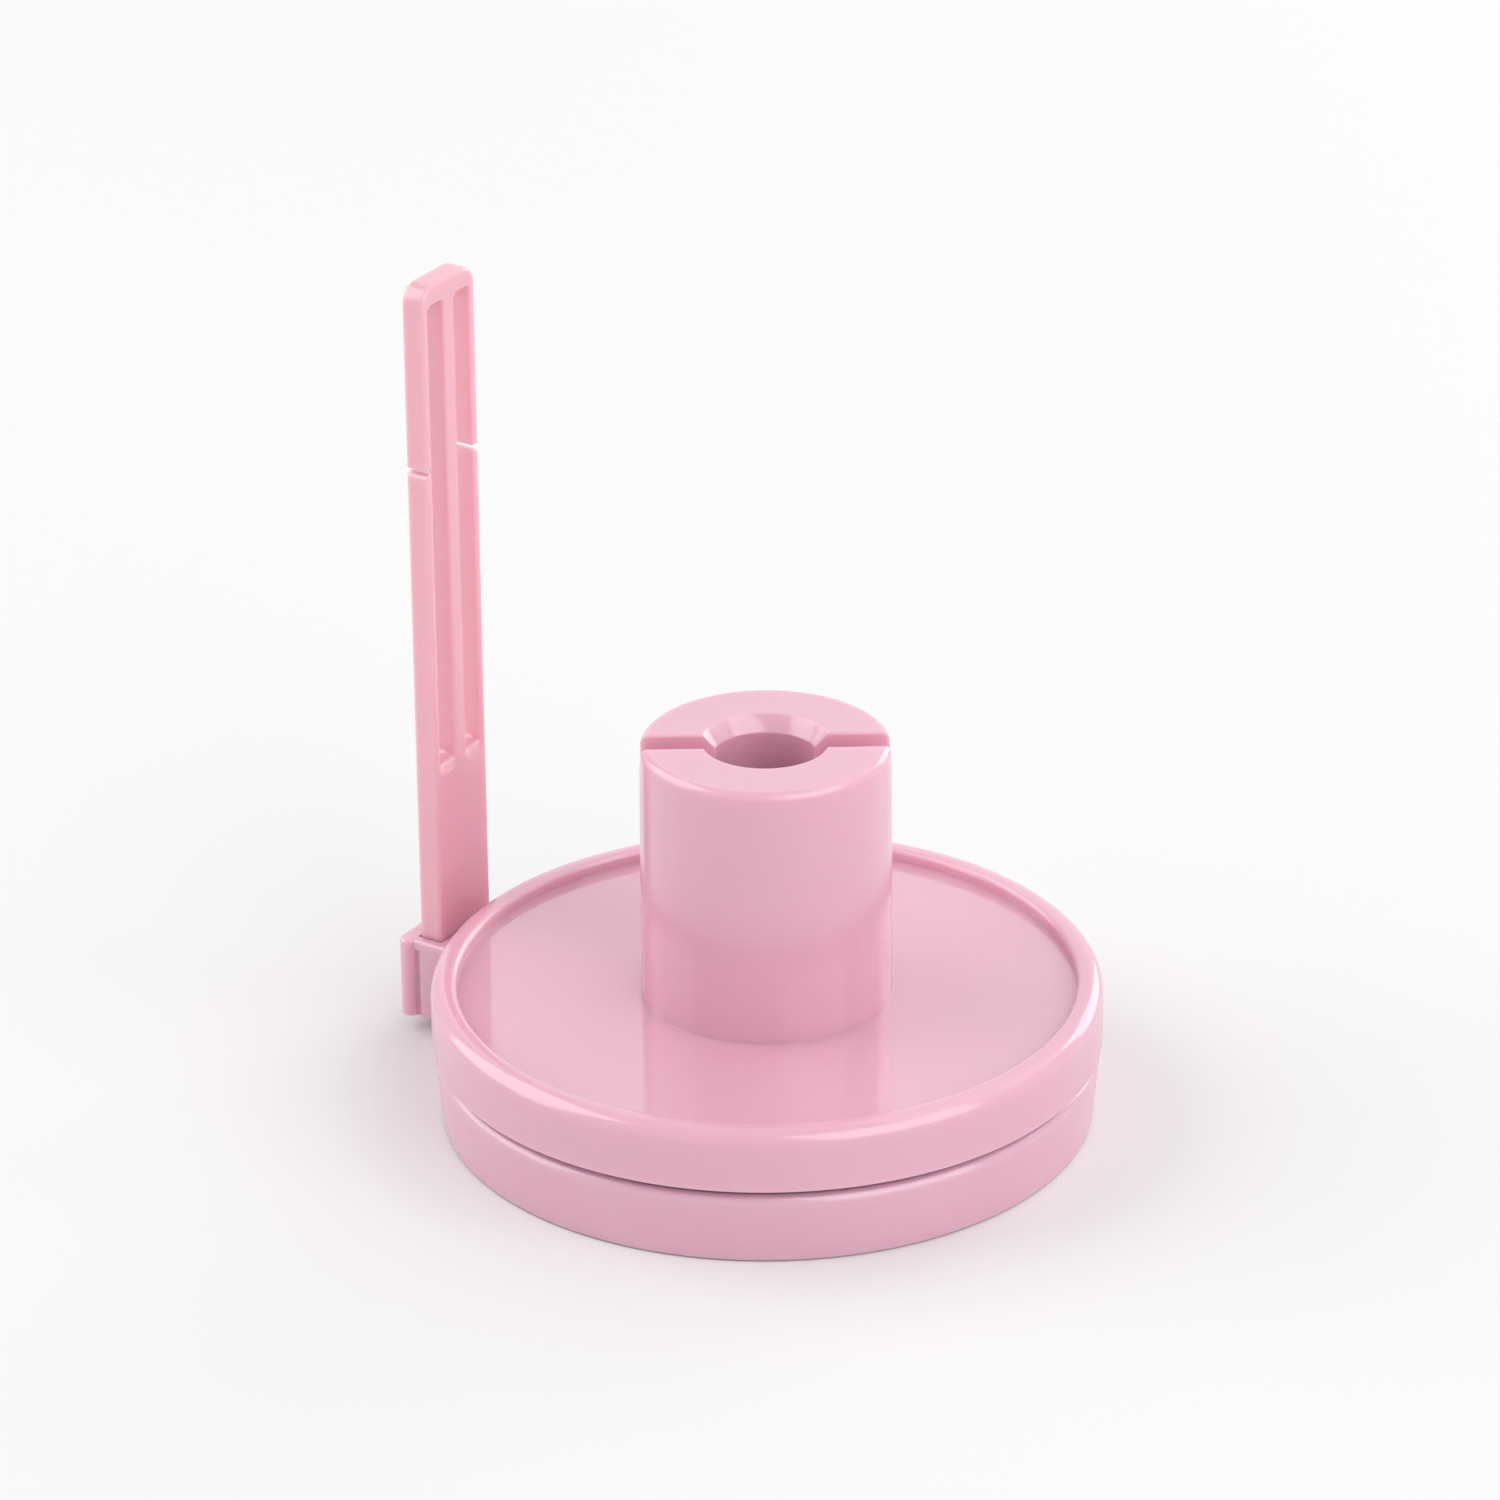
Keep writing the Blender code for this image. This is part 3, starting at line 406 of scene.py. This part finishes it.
slot_half = SLOT_WIDTH / 2
slot_corner = (slot_half - SLOT_CORNER, -SLOT_DEPTH + SLOT_CORNER)
channel = arc(slot_corner, SLOT_CORNER, -90, 0, steps=4)
channel += arc((slot_half + SLOT_LIP, -SLOT_LIP), SLOT_LIP, 180, 90, steps=4)
channel += [(slot_half + SLOT_LIP, SLOT_DEPTH)]
channel += [(-x, z) for x, z in reversed(channel)]
lying_to_upright = Matrix(((0, 0, 1, 0), (1, 0, 0, 0), (0, 1, 0, 0), (0, 0, 0, 1)))
across = Matrix.Translation((0, 0, post_top)) @ Matrix.Rotation(SLOT_TURN, 4, "Z") @ lying_to_upright
slot_reach = POST_RADIUS + POST_WALL
slot_cutter = slab("slot_cutter", channel, -slot_reach, slot_reach, across)
combine(turntable, slot_cutter, "DIFFERENCE")
finish_piece(turntable, pink, "spinner", "pink_plastic", "turntable")

# Thread arm
# A flat bar that stands in the socket, of the same plastic; its pink is set a little warmer and less blue
# than the base's. The thread runs through its two long slots, whose edges are rounded, and slips into them
# through the slit in each outer rail.

ARM_CORNER = 2.2 * MM
ARM_CORNER_STEPS = 10
ARM_EDGE_ROUND = 0.5 * MM
RAIL = 1.0 * MM
CENTRE_RIB = 1.95 * MM
THREAD_SLOT_LOW = 31.1 * MM
THREAD_SLOT_HIGH = 82.8 * MM
THREAD_SLOT_CORNER = 0.7 * MM
THREAD_SLOT_ROUND = 0.4 * MM
THREAD_SLOT_RAMP = 1.4 * MM  # radius of the curve by which its lower end runs out to the front
RAMP_STEPS = 12
RAMP_FIRST_STEP = 4
SLIT_HEIGHT = 64.7 * MM
SLIT_GAP = 0.4 * MM
SLIT_LOWER_LIP = 0.8 * MM
SLIT_UPPER_LIP = 0.25 * MM
SLIT_ROUND = 0.3 * MM
SLIT_REACH = 1.4 * RAIL
CUT_STEPS = 6
ARM_PINK = (0.755, 0.404, 0.484)

arm_half = arm_high.y
arm_thickness = arm_high.x - arm_low.x


def lofted(name, rings):
    """A solid through closed rings of points, which all have the same number of points."""
    bm = bmesh.new()
    loops = [[bm.verts.new(point) for point in ring] for ring in rings]
    for near, far in zip(loops, loops[1:]):
        for i in range(len(near)):
            bm.faces.new((near[i - 1], near[i], far[i], far[i - 1]))
    bm.faces.new(loops[0])
    bm.faces.new(reversed(loops[-1]))
    return new_object(name, bm)


def rounded_depths(radius):
    """Depths of a cut through the arm, each with how much wider it is there, so that its edges are round."""
    angles = [math.radians(90 * i / CUT_STEPS) for i in range(CUT_STEPS + 1)]
    eases = [(radius * (1 - math.cos(a)), radius * (1 - math.sin(a))) for a in angles]
    depths = [(-RAIL, radius)] + eases
    return depths + [(arm_thickness - depth, ease) for depth, ease in reversed(depths)]


def thread_slot(side):
    """A cutter for one long slot, whose lower end runs out to the front."""
    depths = rounded_depths(THREAD_SLOT_ROUND)
    ramp_steps = range(RAMP_FIRST_STEP, RAMP_STEPS + 1)
    depths += [(THREAD_SLOT_RAMP * i / RAMP_STEPS, 0.0) for i in ramp_steps]
    rings = []
    for depth, ease in sorted(depths):
        corner = THREAD_SLOT_CORNER + ease
        near = CENTRE_RIB / 2 - ease
        far = arm_half - RAIL + ease
        left = max(THREAD_SLOT_RAMP - max(depth, 0.0), 0.0)
        ramp = THREAD_SLOT_RAMP - math.sqrt(THREAD_SLOT_RAMP**2 - left**2)
        low = THREAD_SLOT_LOW - max(ease, ramp)
        high = THREAD_SLOT_HIGH + ease
        ring = arc((near + corner, low + corner), corner, 180, 270, steps=CUT_STEPS)
        ring += arc((far - corner, low + corner), corner, 270, 360, steps=CUT_STEPS)
        ring += arc((far - corner, high - corner), corner, 0, 90, steps=CUT_STEPS)
        ring += arc((near + corner, high - corner), corner, 90, 180, steps=CUT_STEPS)
        rings.append([(arm_high.x - depth, side * y, z) for y, z in ring])
    return lofted("thread_slot", rings)


def slit(side):
    """A cutter for the slit in a rail: a narrow gap over a lower lip that is well rounded to the outside."""
    rings = []
    for depth, ease in rounded_depths(SLIT_ROUND):
        lower = SLIT_HEIGHT - SLIT_GAP / 2 - ease
        upper = SLIT_HEIGHT + SLIT_GAP / 2 + ease
        lower_lip = (arm_half - SLIT_LOWER_LIP, lower - SLIT_LOWER_LIP)
        upper_lip = (arm_half - SLIT_UPPER_LIP, upper + SLIT_UPPER_LIP)
        ring = [(arm_half - SLIT_REACH, lower)]
        ring += arc(lower_lip, SLIT_LOWER_LIP, 90, 0, steps=CUT_STEPS)
        ring += [(arm_half + RAIL, lower_lip[1]), (arm_half + RAIL, upper_lip[1])]
        ring += arc(upper_lip, SLIT_UPPER_LIP, 0, -90, steps=CUT_STEPS)
        ring += [(arm_half - SLIT_REACH, upper)]
        rings.append([(arm_high.x - depth, side * y, z) for y, z in ring])
    return lofted("slit", rings)


arm_corner_z = arm_high.z - ARM_CORNER
outline = [(-arm_half, arm_low.z), (arm_half, arm_low.z)]
outline += arc((arm_half - ARM_CORNER, arm_corner_z), ARM_CORNER, 0, 90, steps=ARM_CORNER_STEPS)
outline += arc((-arm_half + ARM_CORNER, arm_corner_z), ARM_CORNER, 90, 180, steps=ARM_CORNER_STEPS)
arm = slab("thread_arm", outline, arm_low.x, arm_high.x, lying_to_upright)
soften(arm, ARM_EDGE_ROUND, segments=5, angle=50.0)
for side in (1, -1):
    combine(arm, thread_slot(side), "DIFFERENCE")
    combine(arm, slit(side), "DIFFERENCE")
arm_pink = pink_abs("arm_pink_abs", ARM_PINK)
finish_piece(arm, arm_pink, "thread_arm", "pink_plastic", "guide_arm")

# Bottom cover
# A flat disc of the same plastic closes the base from below. Its three countersunk screws and the screw of
# the hub are covered by the foot pad, so none of this shows when the dispenser stands on a table.


def dress(name, material):
    """Gives a CAD node a material and smooth round faces, and leaves its shape alone."""
    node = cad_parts[name]
    node.data.materials.clear()
    node.data.materials.append(material)
    node.data.shade_smooth()
    node.data.set_sharp_from_angle(angle=SHARP_ANGLE)


dress("base_cover", pink)

# Ball bearing
# A deep-groove bearing of ground and polished bearing steel, with pressed shields and a moulded nylon cage.
# It sits in the base's cup, and the turntable's axle stands in its bore.

BALLS = 7
RING_STEEL = (0.64, 0.64, 0.66)
BALL_STEEL = (0.70, 0.70, 0.72)
NYLON_DARK = (0.50, 0.45, 0.37)
NYLON_LIGHT = (0.60, 0.55, 0.47)
NYLON_ROUGHNESS = 0.42
NYLON_GRAIN_ROUGHNESS = 0.15
GROUND_LINE_SHADE = 0.92
GROUND_LINE_ROUGHNESS = 0.12


def ground_steel(name, colour, roughness, lines):
    """Steel with the fine rings that grinding or pressing leaves round its axis."""
    material, tree, shader = new_material(name)
    rings = noise(tree, scale=lines, stretch=(1.0, 1.0, 6.0))
    shade = [part * GROUND_LINE_SHADE for part in colour]
    drive(shader, "Base Color", blend(tree, rings, shade, colour))
    drive(shader, "Roughness", roughness + GROUND_LINE_ROUGHNESS * rings)
    shader.inputs["Metallic"].default_value = 1.0
    return material


def cage_nylon():
    """Unpolished nylon, with a fine grain and a little variation in colour."""
    material, tree, shader = new_material("cage_nylon")
    grain = noise(tree, scale=700.0, detail=3.0)
    drive(shader, "Base Color", blend(tree, grain, NYLON_DARK, NYLON_LIGHT))
    drive(shader, "Roughness", NYLON_ROUGHNESS + NYLON_GRAIN_ROUGHNESS * grain)
    drive(shader, "Normal", grain_bump(tree, grain, strength=0.2, distance=0.05 * MM))
    return material


ring_steel = ground_steel("ring_steel", RING_STEEL, roughness=0.16, lines=900.0)
ball_steel = ground_steel("ball_steel", BALL_STEEL, roughness=0.05, lines=300.0)
for piece in ("bearing_outer_ring", "bearing_inner_ring", "bearing_shield_upper", "bearing_shield_lower"):
    dress(piece, ring_steel)
for ball in range(1, BALLS + 1):
    dress(f"bearing_ball_{ball}", ball_steel)
dress("bearing_cage", cage_nylon())

# Screws and washer
# Zinc-plated steel. The hub screw and its washer clamp the bearing's inner ring against the turntable's hub,
# and three short screws hold the cover to the base.

ZINC = (0.72, 0.73, 0.76)

zinc_steel = ground_steel("zinc_steel", ZINC, roughness=0.24, lines=1400.0)
for piece in ("hub_screw", "hub_washer", "cover_screw_1", "cover_screw_2", "cover_screw_3"):
    dress(piece, zinc_steel)

# Foot pad
# A disc of black non-slip rubber sheet with a fine matt texture, stuck over the cover and its screws.
# The dispenser stands on it.

RUBBER_BLACK = (0.020, 0.020, 0.021)
RUBBER_WORN = (0.045, 0.044, 0.044)
RUBBER_ROUGHNESS = 0.70
WEAR_ROUGHNESS = 0.18


def black_rubber():
    """Matt rubber with a fine grain, a little greyer and duller where it is worn."""
    material, tree, shader = new_material("black_rubber")
    grain = noise(tree, scale=1600.0)
    wear = noise(tree, scale=90.0, detail=3.0)
    drive(shader, "Base Color", blend(tree, wear, RUBBER_BLACK, RUBBER_WORN))
    drive(shader, "Roughness", RUBBER_ROUGHNESS + WEAR_ROUGHNESS * wear)
    drive(shader, "Normal", grain_bump(tree, grain, strength=0.5, distance=0.1 * MM))
    return material


dress("foot_pad", black_rubber())

# Table and light
# A seamless white table in a small photo tent. Soft boxes stand all round it, the strongest at the left and
# the front right, and the tent itself gives an even, weaker light.

FLOOR_RADIUS = 3.0
FLOOR_STEPS = 96
TABLE_WHITE = (0.845, 0.845, 0.845)
TABLE_WHITER = (0.855, 0.855, 0.855)
TABLE_ROUGHNESS = 0.9
TABLE_GLOSS = 0.1
TENT_LIGHT = 0.56
CAMERA_TURN = math.radians(32.51)


def white_table():
    """Smooth matt sheet, with a mottle too faint to notice."""
    material, tree, shader = new_material("white_table")
    mottle = noise(tree, scale=6.0)
    drive(shader, "Base Color", blend(tree, mottle, TABLE_WHITE, TABLE_WHITER))
    shader.inputs["Roughness"].default_value = TABLE_ROUGHNESS
    shader.inputs["Specular IOR Level"].default_value = TABLE_GLOSS
    return material


disc = bmesh.new()
bmesh.ops.create_circle(disc, cap_ends=True, segments=FLOOR_STEPS, radius=FLOOR_RADIUS)
floor = new_object("table", disc)
floor.data.materials.append(white_table())


def soft_box(name, size, power, turn, distance, height):
    """A square lamp that faces the object, turned round it by an angle from the camera's right."""
    light = bpy.data.lights.new(name, "AREA")
    light.shape = "SQUARE"
    light.size = size
    light.energy = power
    lamp = bpy.data.objects.new(name, light)
    bpy.context.scene.collection.objects.link(lamp)
    heading = CAMERA_TURN + math.radians(turn)
    lamp.location = (distance * math.cos(heading), distance * math.sin(heading), height)
    lamp.rotation_euler = (-lamp.location).to_track_quat("-Z", "Y").to_euler()


soft_box("left", size=1.1, power=6.1, turn=170.0, distance=0.9, height=0.55)
soft_box("front_right", size=1.1, power=5.9, turn=-45.0, distance=0.9, height=0.6)
soft_box("right", size=0.9, power=1.4, turn=25.0, distance=0.7, height=0.8)
soft_box("low_right", size=0.5, power=1.6, turn=50.0, distance=0.9, height=0.28)
soft_box("behind", size=0.9, power=0.65, turn=90.0, distance=0.9, height=0.5)

world = bpy.data.worlds.new("tent")
world.use_nodes = True
bpy.context.scene.world = world
tent = Wired(world.node_tree)
background = world.node_tree.nodes["Background"]
camera_ray = tent.add("LightPath", output="Is Camera Ray")
glossy_ray = tent.add("LightPath", output="Is Glossy Ray")
transmission_ray = tent.add("LightPath", output="Is Transmission Ray")
seen = camera_ray + glossy_ray + transmission_ray
drive(background, "Strength", TENT_LIGHT + (1.0 - TENT_LIGHT) * seen)
background.inputs["Color"].default_value = (1.0, 1.0, 1.0, 1.0)

# Camera
# A long lens that looks down on the dispenser from the front right, at the photograph's angle.
# Its distance, turn and lens come from a fit to the edges of the object.

CAMERA_DISTANCE = 0.6456
CAMERA_HEIGHT = 0.3459
LOOK_DOWN = math.radians(25.29)
LOOK_ASIDE = math.radians(0.14)
ROLL = math.radians(-0.45)
LENS = 167.25
FILM_WIDTH = 36.0
CLIP_NEAR = 0.05
CLIP_FAR = 20.0

camera_data = bpy.data.cameras.new("camera")
camera_data.lens = LENS
camera_data.sensor_width = FILM_WIDTH
camera_data.clip_start = CLIP_NEAR
camera_data.clip_end = CLIP_FAR
camera = bpy.data.objects.new("camera", camera_data)
bpy.context.scene.collection.objects.link(camera)
camera_x = CAMERA_DISTANCE * math.sin(CAMERA_TURN)
camera_y = -CAMERA_DISTANCE * math.cos(CAMERA_TURN)
camera.location = (camera_x, camera_y, CAMERA_HEIGHT)
heading = CAMERA_TURN + LOOK_ASIDE
level = Vector((-math.sin(heading), math.cos(heading), 0.0))
look = level * math.cos(LOOK_DOWN) - Vector((0.0, 0.0, math.sin(LOOK_DOWN)))
aim = look.to_track_quat("-Z", "Y").to_matrix() @ Matrix.Rotation(ROLL, 3, "Z")
camera.rotation_euler = aim.to_euler()
bpy.context.scene.camera = camera
bpy.context.scene.view_settings.view_transform = "Standard"
